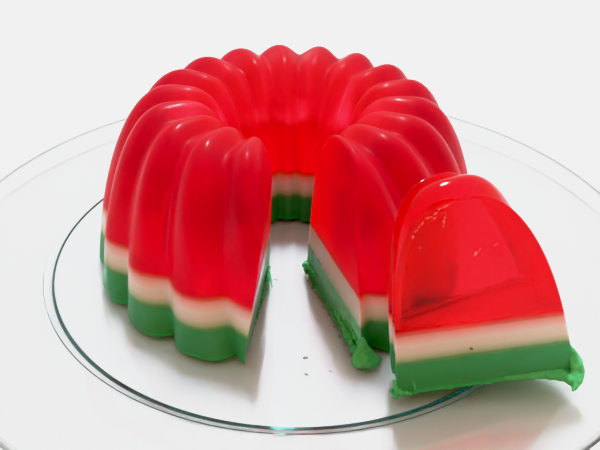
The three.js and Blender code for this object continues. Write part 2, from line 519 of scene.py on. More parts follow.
@dataclass(frozen=True)
class Mould:
    """The ring mould's inner surface, in mm, foot at z = 0 and axis on Z."""

    base_r: float = 92.3
    crown_r: float = 53.0
    hole_r: float = 22.5
    height: float = CROWN
    flare: float = 7.9        # how much wider the wall gets towards its foot
    hole_flare: float = 2.5
    outer_round: tuple[float, float] = (0.82, 1.05)   # how round the section is, across and up
    inner_round: tuple[float, float] = (0.6, 0.56)
    lobes: int = 18
    foot: Flute = Flute(7.4, 0.09, 0.77)
    crown: Flute = Flute(4.8, 0.27, 0.3)
    hole: Flute = Flute(2.0, 0.27, 0.3)
    foot_fade: float = 4.4    # how soon the foot's shape gives way to the crown's
    foot_box: float = 0.3     # how flat the lobes' tops are at the foot
    foot_skew: float = 0.6    # how far the lobes' tops lean to one side at the foot
    valley: float = 104.2     # direction of one valley at the crown, in degrees
    swirl_outer: float = 11.3  # how far the flutes turn down the wall, and down the hole
    swirl_inner: float = -3.0
    reach: float = 50.0       # how far from a cut's direction it may meet a flute, in degrees

    def arch(self, t: np.ndarray) -> tuple[np.ndarray, np.ndarray]:
        """Radius and height of the smooth section.

        Args:
            t: place along it: 0 at the outer foot, 1 at the crown, 2 at the hole's foot.

        Returns:
            The radii and the heights.
        """
        outer = t <= 1
        a = np.where(outer, t, 2 - t) * math.pi / 2
        up = np.sin(a) ** np.where(outer, self.outer_round[1], self.inner_round[1])
        across = np.clip(np.cos(a), 0, None) ** np.where(outer, self.outer_round[0], self.inner_round[0])
        wall = self.crown_r + (self.base_r - self.flare - self.crown_r) * across + self.flare * (1 - up)
        hole = self.crown_r - (self.crown_r - self.hole_r - self.hole_flare) * across
        return np.where(outer, wall, hole - self.hole_flare * (1 - up)), self.height * up

    def normal(self, t: np.ndarray) -> tuple[np.ndarray, np.ndarray]:
        """The section's outward normal."""
        nudge = 1e-3
        r2, z2 = self.arch(np.minimum(t + nudge, 2))
        r1, z1 = self.arch(np.maximum(t - nudge, 0))
        length = np.hypot(r2 - r1, z2 - z1)
        return (z2 - z1) / length, -(r2 - r1) / length

    def lobe_height(self, phi: np.ndarray, soft: np.ndarray, gable: np.ndarray) -> np.ndarray:
        """0 in the bottom of a valley, 1 on top of a lobe."""
        wave = np.abs(np.sin(phi * self.lobes / 2))
        height = (np.hypot(wave, soft) - soft) / (np.hypot(1, soft) - soft)
        return np.arcsin(gable * height) / np.arcsin(gable)

    def boxed(self, t: np.ndarray, height: np.ndarray) -> np.ndarray:
        """The same height with flatter tops close to the foot of the outer wall."""
        low = np.where(t <= 1, np.clip(1 - t, 0, 1) ** (2 * self.foot_fade), 0)
        return 1 - np.clip(1 - height, 0, 1) ** (1 + self.foot_box * low)

    def swirl(self, t: np.ndarray) -> np.ndarray:
        """How far a flute has turned at t, in radians."""
        return np.radians(np.where(t <= 1, self.swirl_outer * (1 - t), self.swirl_inner * (t - 1)))

    def inset(self, t: np.ndarray, phi: np.ndarray) -> np.ndarray:
        """How far the fluted surface lies inside the smooth section, in mm."""
        part = np.where(t <= 1, np.clip(1 - t, 0, 1) ** self.foot_fade, t - 1)
        skew = self.foot_skew * np.where(t <= 1, part * part, 0)
        phi = phi + skew * np.sin(phi * self.lobes) / self.lobes
        depth, soft, gable = (
            getattr(self.crown, name) + part * (
                np.where(t <= 1, getattr(self.foot, name), getattr(self.hole, name))
                - getattr(self.crown, name))
            for name in ("depth", "soft", "gable"))
        return depth * (1 - self.boxed(t, self.lobe_height(phi, soft, gable)))

    def wall(self, t: np.ndarray, phi: np.ndarray, extra: Any = 0.0) -> tuple[np.ndarray, ...]:
        """A point of the surface.

        Args:
            t: place along the section.
            phi: angle within the flutes, in radians.
            extra: further distance inwards, in mm.

        Returns:
            Radius, height and angle of the point.
        """
        r, z = self.arch(t)
        nr, nz = self.normal(t)
        inward = self.inset(t, phi) + extra
        angle = math.radians(self.valley) + self.swirl(t) + phi
        return r - nr * inward, np.maximum(z - nz * inward, 0), angle

    def cut_phi(self, t: np.ndarray, cut: Cut, turns: int) -> np.ndarray:
        """The angle within the flutes at which the surface meets a cut, found by halving."""
        centre = math.radians(cut.angle + 360 * turns)
        base = math.radians(self.valley) + self.swirl(t)
        low = centre - math.radians(self.reach) - base
        high = centre + math.radians(self.reach) - base
        for _ in range(HALVINGS):
            middle = (low + high) / 2
            r, z, angle = self.wall(t, middle)
            over = r * np.sin(angle - centre) > cut.aside(r, z)
            low, high = np.where(over, low, middle), np.where(over, middle, high)
        return (low + high) / 2


class Layer(Enum):
    """The jelly's three layers, as the heights between which each lies."""

    GREEN = (0.0, GREEN_TOP)
    WHITE = (GREEN_TOP, WHITE_TOP)
    RED = (WHITE_TOP, None)


# ---- one portion of the ring, layer by layer ---------------------------------------------------


@dataclass
class Portion:
    """What lies between two cuts of the fluted ring, as closed meshes on one shared lattice."""

    mould: Mould
    start: Cut
    stop: Cut
    turns: int                # whole turns from the starting cut to the stopping one
    steps_per_lobe: int
    place: Matrix
    seed: float
    rows: dict[Layer, int] = field(default_factory=lambda: {Layer.GREEN: 12, Layer.WHITE: 9, Layer.RED: 46})
    across: int = 28          # faces across a cut, from the wall to the hole
    plug: float = 1.0         # how far the red reaches down into the white
    plug_from: float = 1.0    # distance from a cut at which it starts to, and over which it sinks
    plug_run: float = 2.0
    foot_edge: float = 0.45
    film: float = 1.0         # 2 on the starting cut, where a painted sheen goes over the pale film that the knife left
    edge_angles: tuple[float, ...] = (33.0, 43.0, 53.0, 63.0, 72.0, 81.0, 90.0)
    lattice_ends: float = 22.0  # angle of a rounded edge at which the even lattice ends
    crease: float = 50.0      # angle in degrees past which an edge is shaded sharp
    packing: float = 1.4      # room into which the lattice's last columns are packed
    wave_fade: float = 3.0    # distance from the outline over which a cut's waves begin
    wave_least: float = 0.8   # least distance that counts at the end of a flat face
    wide_wave: tuple[float, float, float] = (16.0, 16.0, 11.0)
    fine_wave: tuple[float, float, float] = (4.0, 4.0, 2.5)
    wide_depth: float = 0.35
    fine_depth: float = 0.08
    core_r: float = 58.0      # radius inside which the attribute "core" rises, which turns the painted glow to the hole's, and over which
    core_run: float = 16.0

    def __post_init__(self) -> None:
        """Tabulates where both cuts meet the surface, and lays out the columns."""
        self.table_t = np.concatenate([np.linspace(0, 0.08, 30), np.linspace(0.085, 1.915, 400),
                                       np.linspace(1.92, 2, 30)])
        self.table_low = self.mould.cut_phi(self.table_t, self.start, 0)
        self.table_high = self.mould.cut_phi(self.table_t, self.stop, self.turns)
        step = 2 * math.pi / self.mould.lobes / self.steps_per_lobe
        first = math.floor(self.table_low.min() / step) - 2
        last = math.ceil(self.table_high.max() / step) + 2
        self.lattice = np.arange(first, last + 1) * step
        self.ends = len(self.edge_angles)
        self.columns = len(self.lattice) + 2 * self.ends
        self.cuts = ((0, self.start, -1, self.film), (self.columns - 1, self.stop, 1, 1.0))

    @staticmethod
    def _pack(past: np.ndarray, room: np.ndarray) -> np.ndarray:
        """Packs what lies past a limit into the room before it."""
        inside = past + room
        return np.where(inside > 0, -room / (1 + np.maximum(inside, 0) / room), past)

    def point(self, t: np.ndarray) -> np.ndarray:
        """Points of the wall with its rounded edges.

        Args:
            t: place along the section, one row per first index and one column per lattice column.

        Returns:
            The points, in the same rows and columns.
        """
        low = np.interp(t, self.table_t, self.table_low)
        high = np.interp(t, self.table_t, self.table_high)
        radius, height = self.mould.arch(t)
        edges = [cut.edge(height) for cut in (self.start, self.stop)]
        keep = [edge * (1 - math.sin(math.radians(self.lattice_ends))) / radius for edge in edges]
        k = self.ends
        room = (self.packing / radius)[:, k:-k]
        cap = (high - keep[1])[:, k:-k]
        base = (low + keep[0])[:, k:-k]
        middle = cap + self._pack(self.lattice[None, :] - cap, room)
        phi = np.empty_like(t)
        phi[:, k:-k] = base - self._pack(base - middle, room)
        for i, degrees in enumerate(self.edge_angles):
            back = 1 - math.sin(math.radians(degrees))
            phi[:, k - 1 - i] = low[:, k - 1 - i] + (edges[0] * back / radius)[:, k - 1 - i]
            phi[:, i - k] = high[:, i - k] - (edges[1] * back / radius)[:, i - k]
        extra = np.zeros_like(t)
        for distance, edge in (((phi - low) * radius, edges[0]), ((high - phi) * radius, edges[1])):
            short = np.clip(1 - distance / edge, 0, 1)
            extra = np.maximum(extra, edge * (1 - np.sqrt(1 - short ** 2)))
        r, z, angle = self.mould.wall(t, phi, extra)
        foot = np.clip(1 - z / self.foot_edge, 0, 1)
        r = r - self.mould.normal(t)[0] * self.foot_edge * (1 - np.sqrt(1 - foot ** 2))
        return np.stack([r * np.cos(angle), r * np.sin(angle), z], -1)

    def level_t(self, level: float, inner: bool) -> np.ndarray:
        """Place along the section at which each column of one side reaches a height."""
        low = np.full((1, self.columns), 1.0 if inner else 0.0)
        high = low + 1
        for _ in range(HALVINGS):
            middle = (low + high) / 2
            over = self.point(middle)[..., 2] > level
            if inner:
                low, high = np.where(over, middle, low), np.where(over, high, middle)
            else:
                low, high = np.where(over, low, middle), np.where(over, middle, high)
        return ((low + high) / 2)[0]

    def _even(self, start: float, stop: float, steps: int) -> np.ndarray:
        """Values of t at even steps of length along the smooth section, from 0 to 1 of the way."""
        fine = np.linspace(start, stop, 600)
        r, z = self.mould.arch(fine)
        length = np.concatenate([[0], np.cumsum(np.hypot(np.diff(r), np.diff(z)))])
        return (np.interp(np.linspace(0, length[-1], steps + 1), length, fine) - start) / (stop - start)

    def side(self, layer: Layer, inner: bool) -> np.ndarray:
        """One side's rows of a layer, from its bottom to its top."""
        low, high = layer.value
        count = self.rows[layer]
        foot = 2.0 if inner else 0.0
        lower = self.level_t(low, inner) if low > 0 else np.full(self.columns, foot)
        if high is None:
            upper = np.ones(self.columns)
            parts = self._even(float(np.mean(lower)), 1.0, count)
        else:
            upper = self.level_t(high, inner)
            parts = np.linspace(0, 1, count + 1)
        rows = self.point(lower[None, :] + parts[:, None] * (upper - lower)[None, :])
        rows[0, :, 2] = low
        if high is not None:
            rows[-1, :, 2] = high
        return rows

    def _strip(self, outer: np.ndarray, inner: np.ndarray, sag: float = 0.0) -> np.ndarray:
        """Points across a flat face, without those on its two long edges.

        Args:
            outer: the points along its outer edge.
            inner: the points along its inner edge.
            sag: how far it sinks away from the cuts, in mm.

        Returns:
            The points, in rows that run along the edges.
        """
        parts = np.linspace(0, 1, self.across + 1)[1:-1]
        strip = outer[None] + parts[:, None, None] * (inner - outer)[None]
        if sag:
            apart = np.minimum(*(np.linalg.norm(outer - outer[end], axis=-1) for end in (0, -1)))
            strip[..., 2] -= sag * np.clip((apart - self.plug_from) / self.plug_run, 0, 1)[None]
        for column, knife, sign, _ in self.cuts:
            along = strip[:, column]
            room = np.minimum(*(np.linalg.norm(along - along[end], axis=-1) for end in (0, -1)))
            shift = self._wave(along, room + self.wave_least, knife, sign) - along
            for i in range(self.ends):
                strip[:, column - i if column else i] += shift
        return strip

    def _loop(self, outer: np.ndarray, inner: np.ndarray, pointed: bool) -> np.ndarray:
        """The closed section of every column: up the wall, over the top, down the hole and back."""
        bottom = self._strip(outer[0], inner[0], self.plug if pointed else 0.0)
        if pointed:
            return np.concatenate([outer, inner[:-1][::-1], bottom[::-1]])
        return np.concatenate([outer, self._strip(outer[-1], inner[-1]), inner[::-1], bottom[::-1]])

    def _cut_grid(self, base: int, length: int, total: int, count: int, pointed: bool) -> np.ndarray:
        """Point numbers over a cut face, in rows by height that run from the wall to the hole.

        Args:
            base: number of the first point of its outline.
            length: how many points the outline has.
            total: number of the first point inside it.
            count: how many rows of faces it has.
            pointed: whether wall and hole meet at its top.

        Returns:
            The numbers.
        """
        n = self.across
        grid = np.empty((count + 1, n + 1), int)
        grid[:, 0] = base + np.arange(count + 1)
        if pointed:
            grid[:, n] = base + 2 * count - np.arange(count + 1)
            grid[count, :] = base + count
        else:
            grid[count, :] = base + count + np.arange(n + 1)
            grid[:, n] = base + 2 * count + n - np.arange(count + 1)
        grid[0, 1:n] = base + length - np.arange(1, n)
        grid[1:count, 1:n] = total + np.arange((count - 1) * (n - 1)).reshape(count - 1, n - 1)
        return grid

    def _cut_points(self, left: np.ndarray, right: np.ndarray, knife: Cut, sign: int) -> np.ndarray:
        """Points inside a cut face, in rows between the wall's points and the hole's."""
        share = np.linspace(0, 1, self.across + 1)[None, 1:-1, None]
        middle = left[:, None] + share * (right - left)[:, None]
        wide = np.linalg.norm(right - left, axis=-1)[:, None]
        room = wide * np.minimum(share, 1 - share)[..., 0]
        return self._wave(middle.reshape(-1, 3), room.ravel(), knife, sign)

    def _wave(self, points: np.ndarray, room: np.ndarray, knife: Cut, sign: int) -> np.ndarray:
        """Moves points of a cut face by the faint waves that the knife left.

        Args:
            points: the points, one in each row.
            room: how far each lies from the face's outline, in mm.
            knife: the cut.
            sign: the side of the cut that the jelly is on.

        Returns:
            The moved points.
        """
        a = math.radians(knife.angle)
        out = np.array([-math.sin(a), math.cos(a), 0]) * sign
        drift = np.array([0, 0, self.seed])
        moved = points.copy()
        for i, p in enumerate(points):
            wide = noise.noise(Vector(p / self.wide_wave + drift))
            fine = noise.noise(Vector(p / self.fine_wave - drift))
            depth = self.wide_depth * wide + self.fine_depth * fine
            moved[i] += out * min(room[i] / self.wave_fade, 1.0) * depth
        return moved

    def build(self, name: str, layer: Layer, materials: dict[Layer, bpy.types.Material]) -> bpy.types.Object:
        """Makes one layer of this portion.

        Args:
            name: the piece's name.
            layer: which layer.
            materials: one finish for each layer.

        Returns:
            The piece, at the origin, with its place in its mesh.
        """
        outer, inner = self.side(layer, False), self.side(layer, True)
        count, pointed = self.rows[layer], layer is Layer.RED
        loop = self._loop(outer, inner, pointed)
        length = len(loop)
        points = [loop.transpose(1, 0, 2).reshape(-1, 3)]
        marks = np.zeros((self.columns, length))
        marks[0], marks[-1] = self.film, 1.0
        cut = [marks.ravel()]
        faces: list[tuple[int, ...]] = []
        for j in range(0, (self.columns - 1) * length, length):
            for i in range(length):
                k = (i + 1) % length
                faces.append((j + i, j + k, j + length + k, j + length + i))
        total = self.columns * length
        for column, knife, sign, mark in self.cuts:
            grid = self._cut_grid(column * length, length, total, count, pointed)
            points.append(self._cut_points(outer[1:count, column], inner[1:count, column], knife, sign))
            cut.append(np.full(len(points[-1]), mark))
            total += len(points[-1])
            for i in range(count):
                for k in range(self.across):
                    quad = (grid[i, k], grid[i, k + 1], grid[i + 1, k + 1], grid[i + 1, k])
                    faces.append(tuple(dict.fromkeys(int(x) for x in quad)))
        return self._finish(name, np.concatenate(points), faces, np.concatenate(cut), materials[layer])

    def _finish(self, name: str, xyz: np.ndarray, faces: list[tuple[int, ...]], cut: np.ndarray,
                material: bpy.types.Material) -> bpy.types.Object:
        """Turns points in mm into a closed, smooth, placed piece."""
        mesh = bpy.data.meshes.new(name)
        mesh.from_pydata((xyz * MM).tolist(), [], [f for f in faces if len(f) > 2])
        core = np.clip((self.core_r - np.hypot(xyz[:, 0], xyz[:, 1])) / self.core_run, 0, 1)
        for label, values in (("level", xyz[:, 2]), ("cut", cut), ("core", core)):
            layer = mesh.attributes.new(label, "FLOAT", "POINT")
            layer.data.foreach_set("value", values.astype(np.float32))
        work = bmesh.new()
        work.from_mesh(mesh)
        bmesh.ops.remove_doubles(work, verts=work.verts, dist=2e-6)
        bmesh.ops.dissolve_degenerate(work, edges=work.edges, dist=1e-6)
        bmesh.ops.recalc_face_normals(work, faces=work.faces)
        work.to_mesh(mesh)
        work.free()
        mesh.transform(self.place)
        mesh.polygons.foreach_set("use_smooth", [True] * len(mesh.polygons))
        mesh.set_sharp_from_angle(angle=math.radians(self.crease))
        mesh.materials.append(material)
        return placed(name, mesh)


# ---- node trees that make meshes ---------------------------------------------------------------


def close_tree(graph: Graph, last: bpy.types.Node, material: bpy.types.Material) -> None:
    """Ends a geometry tree: smooth shading, real geometry, its finish and the output."""
    shaded = graph.node("GeometryNodeSetShadeSmooth", None, {"Geometry": last.outputs[0]})
    real = graph.node("GeometryNodeRealizeInstances", None, {"Geometry": shaded.outputs[0]})
    done = graph.node("GeometryNodeSetMaterial", None, {"Geometry": real.outputs[0], "Material": material})
    graph.node("NodeGroupOutput", None, {0: done.outputs[0]})


def turn_outwards(mesh: bpy.types.Mesh) -> None:
    """Makes the faces of a closed mesh point outwards."""
    work = bmesh.new()
    work.from_mesh(mesh)
    bmesh.ops.remove_doubles(work, verts=work.verts, dist=1e-6)
    bmesh.ops.recalc_face_normals(work, faces=work.faces)
    work.to_mesh(mesh)
    work.free()


def grown(name: str, tree: bpy.types.NodeTree, sizes: dict[str, Any],
          seed_mesh: bpy.types.Mesh | None = None) -> bpy.types.Object:
    """Runs a geometry tree once and keeps its result as a plain mesh.

    Args:
        name: the piece's name.
        tree: the tree, whose named inputs are the sizes.
        sizes: a value for each named input.
        seed_mesh: what the tree grows from, if anything.

    Returns:
        The piece, without any modifier.
    """
    seed = placed(f"{name}_seed", seed_mesh or bpy.data.meshes.new(f"{name}_seed"))
    modifier = seed.modifiers.new("grow", "NODES")
    modifier.node_group = tree
    for item in tree.interface.items_tree:
        if item.item_type == "SOCKET" and item.in_out == "INPUT" and item.name in sizes:
            modifier[item.identifier] = sizes[item.name]
    bpy.context.view_layer.update()
    evaluated = seed.evaluated_get(bpy.context.evaluated_depsgraph_get())
    mesh = bpy.data.meshes.new_from_object(evaluated)
    mesh.name = name
    bpy.data.objects.remove(seed)
    turn_outwards(mesh)
    return placed(name, mesh)


# ---- sub-assemblies ----------------------------------------------------------------------------


def layered(portion: Portion, label: str,
            materials: dict[Layer, bpy.types.Material]) -> list[bpy.types.Object]:
    """Makes the three layers of a portion, each in place of its plain solid.

    Args:
        portion: the portion of the ring.
        label: what its solids' names begin with.
        materials: one finish for each layer.

    Returns:
        The pieces, from the bottom to the top.
    """
    made = []
    for layer in Layer:
        colour = layer.name.lower()
        piece = portion.build(f"{label}_{colour}_jelly", layer, materials)
        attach(piece, BODY)
        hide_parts(f"{label}_{colour}")
        made.append(piece)
    return made


@dataclass
class JellyRing:
    """The cut ring: three layers, standing in the plate's well."""

    mould: Mould
    stand: tuple[float, float, float] = (-3.6, 5.4, 5.3)
    left_cut: Cut = Cut(-97.2, -6.2, 0.045, fan=0.00145, crown_back=-2.4, edge_crown=12.0, edge_low=50.0)
    right_cut: Cut = Cut(-71.0, 1.4, 0.034, crown_back=-1.2, edge_crown=2.2)

    def build(self, materials: dict[Layer, bpy.types.Material]) -> list[bpy.types.Object]:
        """Makes the three layers."""
        place = Matrix.Translation(Vector(self.stand) * MM)
        # film=2.0 lays the painted sheen on the ring's starting cut
        portion = Portion(self.mould, self.right_cut, self.left_cut, 1, 24, place, 3.1, film=2.0)
        return layered(portion, "ring", materials)


@dataclass
class JellySlice:
    """The loose slice, its outer end propped up by the plate's rim."""

    mould: Mould
    axis: tuple[float, float, float] = (18.3, -97.3, 3.9)   # where the ring's axis went with it
    turn: float = 99.0
    forward: float = -7.4
    sideways: float = -7.5
    near_cut: Cut = Cut(-95.2, -6.0, 0.013, edge_foot=0.45, edge_crown=0.6)
    far_cut: Cut = Cut(-70.8, -0.9, 0.0, edge_foot=0.45, edge_crown=0.6)

    def placement(self) -> Matrix:
        """Turned about the vertical, then tipped forward, then sideways; in mm."""
        turned = (Matrix.Rotation(math.radians(self.sideways), 4, "Y")
                  @ Matrix.Rotation(math.radians(self.forward), 4, "X")
                  @ Matrix.Rotation(math.radians(self.turn), 4, "Z"))
        return Matrix.Translation(Vector(self.axis)) @ turned

    def build(self, materials: dict[Layer, bpy.types.Material]) -> list[bpy.types.Object]:
        """Makes the three layers."""
        place = self.placement()
        place.translation *= MM
        portion = Portion(self.mould, self.near_cut, self.far_cut, 0, 36, place, 8.6, across=48)
        return layered(portion, "slice", materials)


@dataclass
class GlassPlate:
    """Round glass plate: a flat well on a shallow foot, a sloping wall and a wide, nearly level rim."""

    radius: float = 170.0
    well: float = 115.0
    wall: float = 138.0
    thick: float = 5.0
    wall_slope: float = 0.27
    rim_slope: float = 0.03
    bend: float = 5.0
    foot: float = 2.5         # how much thinner the wall is than the well that it stands on
    foot_r: float = 116.5
    foot_run: float = 0.7     # radial length of the foot's upright side
    second: float = 0.3       # a fainter step further out
    second_r: float = 121.0
    ground: float = 167.6     # radius from which the edge is ground dull
    ground_run: float = 0.6
    rows: int = 84
    foot_rows: int = 6
    edge_rows: int = 12
    around: int = 240
    crease: float = 60.0      # angle in degrees past which an edge is shaded sharp

    def _section(self, row: Value, sizes: list[Value]) -> tuple[Value, Value]:
        """Radius and height of a row of points, in mm.

        Args:
            row: the row's number, from the underside's middle round the edge to the top's middle.
            sizes: the tree's inputs, in the order of their names.

        Returns:
            Both as values.
        """
        radius, well, wall, thick, foot = sizes
        half = (thick - foot - self.second) / 2
        step = (radius - half - 2 * self.foot_run) / self.rows
        side = self.rows + 2 * self.foot_rows
        first = round(self.foot_r * self.rows / self.radius)
        then = round(self.second_r * self.rows / self.radius) + self.foot_rows
        count = row.least(side) - (row - side - self.edge_rows).most(0)
        up_foot = (count - first).most(0).least(self.foot_rows)
        up_second = (count - then).most(0).least(self.foot_rows)
        r = step * (count - up_foot - up_second) + (up_foot + up_second) * (self.foot_run / self.foot_rows)
        bent = self._eased(r - well) * self.wall_slope
        bent = bent - self._eased(r - wall) * (self.wall_slope - self.rim_slope)
        on_top = row.above(side + self.edge_rows - 0.5)
        on_edge = row.above(side + 0.5) * (1 - on_top)
        curl = ((row - side).most(0).least(self.edge_rows) / self.edge_rows - 0.5) * math.pi
        lift = (up_foot / self.foot_rows).ramp(0, 1) * foot
        lift = lift + (up_second / self.foot_rows).ramp(0, 1) * self.second
        flat = on_top * thick + (1 - on_top) * lift
        edge = foot + self.second + half + half * curl.sine()
        return r + on_edge * half * curl.cosine(), bent + (1 - on_edge) * flat + on_edge * edge

    def _tree(self, material: bpy.types.Material, sizes: dict[str, float]) -> bpy.types.NodeTree:
        """Writes the node tree that turns the section about the vertical.

        Args:
            material: the finish that the tree sets.
            sizes: the tree's named inputs and their values.

        Returns:
            The finished tree.
        """
        tree = bpy.data.node_groups.new("turned_plate", "GeometryNodeTree")
        for label in sizes:
            tree.interface.new_socket(label, in_out="INPUT", socket_type="NodeSocketFloat")
        tree.interface.new_socket("Geometry", in_out="OUTPUT", socket_type="NodeSocketGeometry")
        graph = Graph(tree)
        given = graph.node("NodeGroupInput").outputs
        grid = graph.node("GeometryNodeMeshGrid", None, {
            "Vertices X": 2 * (self.rows + 2 * self.foot_rows) + self.edge_rows + 1,
            "Vertices Y": self.around + 1})
        index = graph.value("GeometryNodeInputIndex")
        row = ((index + 0.5) / (self.around + 1)).floor()
        angle = (index - row * (self.around + 1)) * (2 * math.pi / self.around)
        r, z = self._section(row, [Value(graph, given[label]) for label in sizes])
        point = graph.node("ShaderNodeCombineXYZ", None, {
            0: r * angle.cosine() * MM, 1: r * angle.sine() * MM, 2: z * MM})
        marked = graph.node("GeometryNodeStoreNamedAttribute", {"data_type": "FLOAT", "domain": "POINT"}, {
            "Geometry": grid.outputs[0], "Name": "ground",
            "Value": r.ramp(self.ground - self.ground_run, self.ground)})
        moved = graph.node("GeometryNodeSetPosition", None, {
            "Geometry": marked.outputs[0], "Position": point.outputs[0]})
        merged = graph.node("GeometryNodeMergeByDistance", None, {
            "Geometry": moved.outputs[0], "Distance": 1e-6})
        close_tree(graph, merged, material)
        return tree

    def _eased(self, x: Value) -> Value:
        """How far a bend at x = 0 carries a surface whose slope it raises from 0 to 1."""
        short = x.most(0).least(self.bend)
        return short * short / (2 * self.bend) + (x - self.bend).most(0)

    def build(self, material: bpy.types.Material) -> bpy.types.Object:
        """Makes the plate in place of its plain solid."""
        sizes = {"Radius": self.radius, "Well": self.well, "Wall": self.wall,
                 "Thickness": self.thick, "Foot": self.foot}
        piece = grown("glass_plate", self._tree(material, sizes), sizes)
        piece.data.set_sharp_from_angle(angle=math.radians(self.crease))
        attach(piece, BODY)
        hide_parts("plate")
        return piece


@dataclass
class Shreds:
    """Torn bits of one kind: blobs of jelly along paths, merged into one ragged skin by a node tree."""

    name: str
    spacing: float = 0.45     # distance between blobs, in mm
    spread: float = 0.55      # how far a blob strays, in its own radius
    voxel: float = 0.28
    roughen: float = 1.3
    ragged: float = 1.6       # size of the roughness
    floor: float = 5.05       # nothing reaches below this height
    seed: int = 4
    smooth: int = 1           # rounds of smoothing
    uneven: tuple[float, float] = (0.5, 1.15)   # least and largest blob, as parts of its radius
    paths: list[list[tuple[Vector, float]]] = field(default_factory=list)

    def add(self, points: list[tuple[Vector, float]]) -> None:
        """Adds one path, as points and the blobs' radius at each, in mm."""
        self.paths.append(points)

    def _seed_mesh(self) -> bpy.types.Mesh:
        """Makes the paths as edges that carry the blobs' radius."""
        mesh = bpy.data.meshes.new(f"{self.name}_paths")
        points = [entry for path in self.paths for entry in path]
        edges, first = [], 0
        for path in self.paths:
            edges += [(first + i, first + i + 1) for i in range(len(path) - 1)]
            first += len(path)
        mesh.from_pydata([tuple(place * MM) for place, _ in points], edges, [])
        radius = mesh.attributes.new("blob", "FLOAT", "POINT")
        radius.data.foreach_set("value", [size * MM for _, size in points])
        return mesh

    def _tree(self, material: bpy.types.Material) -> bpy.types.NodeTree:
        """Writes the node tree that turns the paths into a ragged skin."""
        tree = bpy.data.node_groups.new(self.name, "GeometryNodeTree")
        tree.interface.new_socket("Geometry", in_out="INPUT", socket_type="NodeSocketGeometry")
        for label in self.sizes():
            kind = "NodeSocketInt" if label in ("Seed", "Smooth") else "NodeSocketFloat"
            tree.interface.new_socket(label, in_out="INPUT", socket_type=kind)
        tree.interface.new_socket("Geometry", in_out="OUTPUT", socket_type="NodeSocketGeometry")
        graph = Graph(tree)
        given = graph.node("NodeGroupInput").outputs
        close_tree(graph, self._roughened(graph, given, self._skin(graph, given)), material)
        return tree

    def _skin(self, graph: Graph, given: Any) -> bpy.types.Node:
        """Strews blobs along the paths and merges them into one skin."""
        voxel, spread = (Value(graph, given[label]) for label in ("Voxel", "Spread"))
        curve = graph.node("GeometryNodeMeshToCurve", None, {0: given["Geometry"]})
        points = graph.node("GeometryNodeCurveToPoints", {"mode": "LENGTH"}, {
            "Curve": curve.outputs[0], "Length": given["Spacing"]})
        blob = graph.value("GeometryNodeInputNamedAttribute", {"data_type": "FLOAT"}, {"Name": "blob"})
        stray = graph.node("FunctionNodeRandomValue", {"data_type": "FLOAT_VECTOR"}, {
            0: (-1, -1, -1), 1: (1, 1, 1), "Seed": given["Seed"]})
        offset = graph.node("ShaderNodeVectorMath", {"operation": "SCALE"}, {
            0: stray.outputs[0], "Scale": blob * spread})
        strewn = graph.node("GeometryNodeSetPosition", None, {
            "Geometry": points.outputs[0], "Offset": offset.outputs[0]})
        uneven = graph.value("FunctionNodeRandomValue", {"data_type": "FLOAT"}, {
            2: self.uneven[0], 3: self.uneven[1], "Seed": given["Seed"]}, 1)
        volume = graph.node("GeometryNodePointsToVolume", {"resolution_mode": "VOXEL_SIZE"}, {
            "Points": strewn.outputs[0], "Density": 1.0, "Voxel Size": voxel, "Radius": blob * uneven})
        return graph.node("GeometryNodeVolumeToMesh", {"resolution_mode": "VOXEL_SIZE"}, {
            "Volume": volume.outputs[0], "Voxel Size": voxel, "Threshold": 0.1})

    def _roughened(self, graph: Graph, given: Any, skin: bpy.types.Node) -> bpy.types.Node:
        """Smooths the skin, pushes it about by noise and stops it at the floor."""
        place = graph.node("GeometryNodeInputPosition").outputs[0]
        blurred = graph.node("GeometryNodeBlurAttribute", {"data_type": "FLOAT_VECTOR"}, {
            "Value": place, "Iterations": given["Smooth"]})
        soft = graph.node("GeometryNodeSetPosition", None, {
            "Geometry": skin.outputs[0], "Position": blurred.outputs[0]})
        noisy = graph.node("ShaderNodeTexNoise", None, {
            "Vector": place, "Scale": 1 / (self.ragged * MM), "Detail": 2.0})
        centred = graph.node("ShaderNodeVectorMath", {"operation": "SUBTRACT"}, {
            0: noisy.outputs["Color"], 1: (0.5, 0.5, 0.5)})
        push = graph.node("ShaderNodeVectorMath", {"operation": "SCALE"}, {
            0: centred.outputs[0], "Scale": given["Roughen"]})
        rough = graph.node("GeometryNodeSetPosition", None, {
            "Geometry": soft.outputs[0], "Offset": push.outputs[0]})
        split = graph.node("ShaderNodeSeparateXYZ", None, {0: place}).outputs
        held = graph.node("ShaderNodeCombineXYZ", None, {
            0: split[0], 1: split[1], 2: Value(graph, split[2]).most(given["Floor"])})
        return graph.node("GeometryNodeSetPosition", None, {
            "Geometry": rough.outputs[0], "Position": held.outputs[0]})

    def sizes(self) -> dict[str, Any]:
        """The tree's named inputs, lengths in metres."""
        return {"Spacing": self.spacing * MM, "Spread": self.spread, "Voxel": self.voxel * MM,
                "Roughen": self.roughen * MM, "Floor": self.floor * MM, "Seed": self.seed,
                "Smooth": self.smooth}

    def build(self, material: bpy.types.Material, slot: str) -> bpy.types.Object:
        """Grows the piece and fixes it to the food."""
        piece = grown(self.name, self._tree(material), self.sizes(), self._seed_mesh())
        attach(piece, BODY)
        return piece


